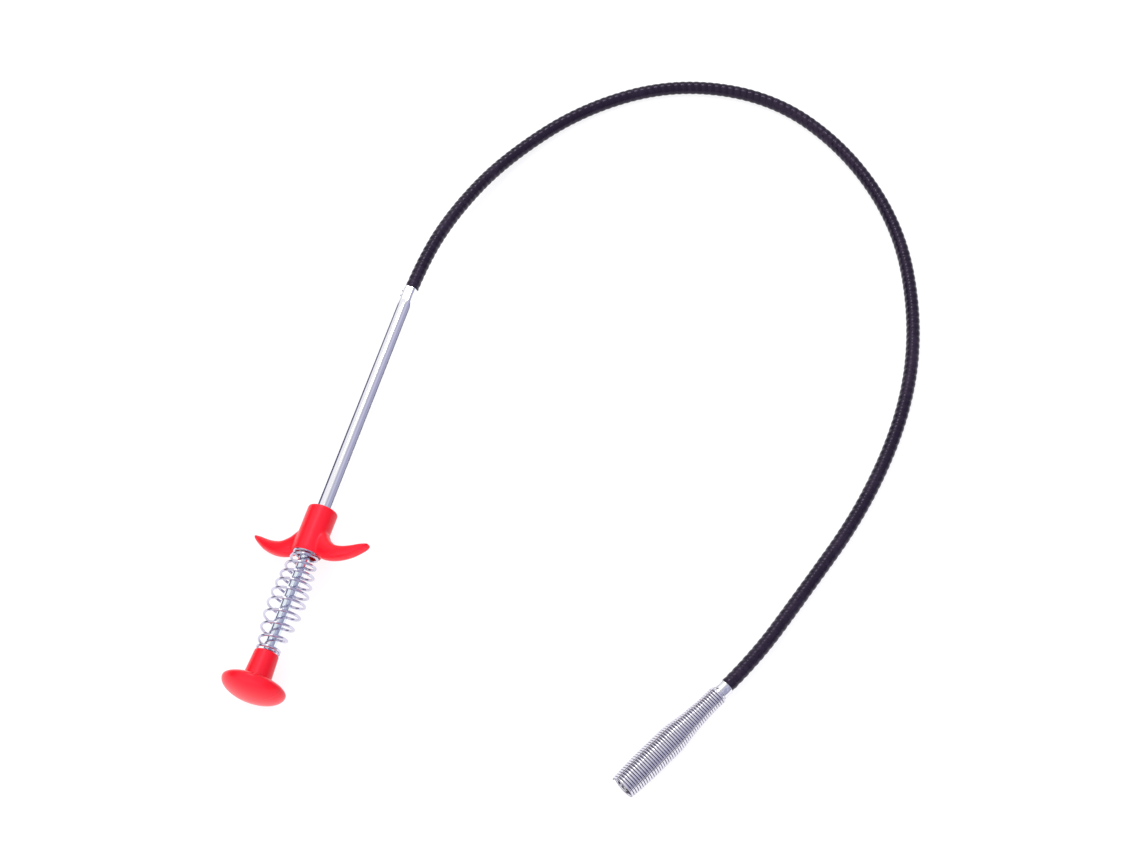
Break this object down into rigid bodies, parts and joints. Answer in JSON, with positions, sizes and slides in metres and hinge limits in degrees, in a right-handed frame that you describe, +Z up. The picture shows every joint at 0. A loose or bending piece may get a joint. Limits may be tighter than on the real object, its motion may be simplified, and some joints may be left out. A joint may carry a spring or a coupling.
{
  "type": "drain auger",
  "caption": "Flexible drain clearing tool: pressing the knob against its spring pushes wire claws out of a coiled nose at the end of a long ribbed sheath.",
  "frame": {"origin": "on the resting surface, under the middle of the handle", "axes": "+Y along the handle from the knob to the sheath, +Z up from the surface the tool lies on, +X towards the sheath's loop"},
  "size_m": [0.2616, 0.3731, 0.0276],
  "materials": {
    "red_plastic": "smooth moulded gloss",
    "tube_chrome": "bright chrome plate",
    "bright_steel": "drawn bright rod",
    "spring_steel": "bright plated wire",
    "nose_steel": "bright plated wire, close wound",
    "ferrule_chrome": "bright plate",
    "liner_steel": "wound wire",
    "cable_steel": "stranded wire",
    "crimp_metal": "plain turned",
    "claw_steel": "bright spring wire",
    "bush_plastic": "natural moulding",
    "sheath_plastic": "ribbed flexible plastic"
  },
  "bodies": {
    "handle": {"finger_grip": "red_plastic", "guide_bush": "bush_plastic", "handle_tube": "tube_chrome", "return_spring": "spring_steel", "sheath_coil": "liner_steel", "sheath_jacket": "sheath_plastic", "cable_in_sheath": "cable_steel", "nose_ferrule": "ferrule_chrome", "nose_coil": "nose_steel"},
    "plunger": {"knob": "red_plastic", "push_rod": "bright_steel", "rod_crimp": "crimp_metal", "cable_at_rod": "cable_steel"},
    "claw_carrier": {"claw_hub": "crimp_metal", "cable_at_claws": "cable_steel"},
    "first_claw": {"claw_1": "claw_steel"},
    "second_claw": {"claw_2": "claw_steel"},
    "third_claw": {"claw_3": "claw_steel"},
    "fourth_claw": {"claw_4": "claw_steel"}
  },
  "joints": [
    {"name": "plunger_slide", "type": "slide", "parent": "handle", "child": "plunger", "axis": [0, 1, 0], "range_m": [0, 0.028], "stiffness_N_per_m": 350, "springref_m": -0.008, "deforming": ["return_spring"]},
    {"name": "claw_slide", "type": "slide", "parent": "handle", "child": "claw_carrier", "axis": [-0.4886, -0.8725, 0], "range_m": [0, 0.028]},
    {"name": "claw_1_swing", "type": "hinge", "parent": "claw_carrier", "child": "first_claw", "pos_m": [0.16897, -0.06924, 0.00549], "axis": [0.617, -0.3455, -0.7071], "range_deg": [0, 14.5]},
    {"name": "claw_2_swing", "type": "hinge", "parent": "claw_carrier", "child": "second_claw", "pos_m": [0.17021, -0.06993, 0.00549], "axis": [0.617, -0.3455, 0.7071], "range_deg": [0, 14.5]},
    {"name": "claw_3_swing", "type": "hinge", "parent": "claw_carrier", "child": "third_claw", "pos_m": [0.17021, -0.06993, 0.00691], "axis": [-0.617, 0.3455, 0.7071], "range_deg": [0, 14.5]},
    {"name": "claw_4_swing", "type": "hinge", "parent": "claw_carrier", "child": "fourth_claw", "pos_m": [0.16897, -0.06924, 0.00691], "axis": [-0.617, 0.3455, -0.7071], "range_deg": [0, 14.5]}
  ],
  "couplings": [
    {"joint": "claw_slide", "follows": "plunger_slide", "ratio": 1},
    {"joint": "claw_1_swing", "follows": "plunger_slide", "rad_per_m": 9},
    {"joint": "claw_2_swing", "follows": "plunger_slide", "rad_per_m": 9},
    {"joint": "claw_3_swing", "follows": "plunger_slide", "rad_per_m": 9},
    {"joint": "claw_4_swing", "follows": "plunger_slide", "rad_per_m": 9}
  ]
}
